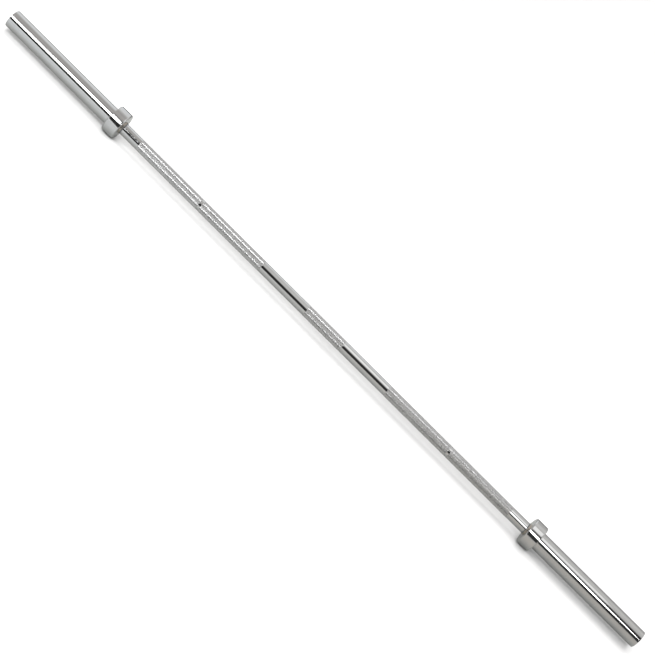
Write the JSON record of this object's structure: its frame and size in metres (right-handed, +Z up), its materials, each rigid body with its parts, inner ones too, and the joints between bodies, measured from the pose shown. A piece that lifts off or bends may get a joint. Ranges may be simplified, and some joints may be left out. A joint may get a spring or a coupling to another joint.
{
  "type": "barbell",
  "caption": "Long straight barbell: knurled steel bar with a freely turning plate sleeve and a stop collar on each end.",
  "frame": {"origin": "middle of the bar, on the shaft's axis", "axes": "+X along the bar towards the right sleeve, +Z up; the bar is the same all round its X axis"},
  "size_m": [2.2, 0.0778, 0.0778],
  "materials": {
    "bright_chrome": "polished hard chrome on turned steel",
    "knurled_chrome": "chrome on steel, diamond knurled in the grip stretches and polished between them",
    "bearing_bronze": "machined bearing bronze, oily",
    "zinc_plated_steel": "zinc plated",
    "spring_steel": "phosphated black spring steel"
  },
  "bodies": {
    "shaft": {"shaft": "knurled_chrome", "inner_thrust_washer_left": "zinc_plated_steel", "inner_thrust_washer_right": "zinc_plated_steel", "outer_thrust_washer_left": "zinc_plated_steel", "outer_thrust_washer_right": "zinc_plated_steel", "wave_washer_left": "spring_steel", "wave_washer_right": "spring_steel", "snap_ring_left": "spring_steel", "snap_ring_right": "spring_steel"},
    "sleeve_left": {"sleeve_left": "bright_chrome", "collar_left": "bright_chrome", "inner_bushing_left": "bearing_bronze", "outer_bushing_left": "bearing_bronze", "end_cap_left": "bright_chrome", "cap_ring_left": "spring_steel"},
    "sleeve_right": {"sleeve_right": "bright_chrome", "collar_right": "bright_chrome", "inner_bushing_right": "bearing_bronze", "outer_bushing_right": "bearing_bronze", "end_cap_right": "bright_chrome", "cap_ring_right": "spring_steel"}
  },
  "joints": [
    {"name": "sleeve_left_spin", "type": "hinge", "parent": "shaft", "child": "sleeve_left", "pos_m": [-0.905, 0, 0], "axis": [1, 0, 0], "continuous": true},
    {"name": "sleeve_right_spin", "type": "hinge", "parent": "shaft", "child": "sleeve_right", "pos_m": [0.905, 0, 0], "axis": [1, 0, 0], "continuous": true}
  ]
}
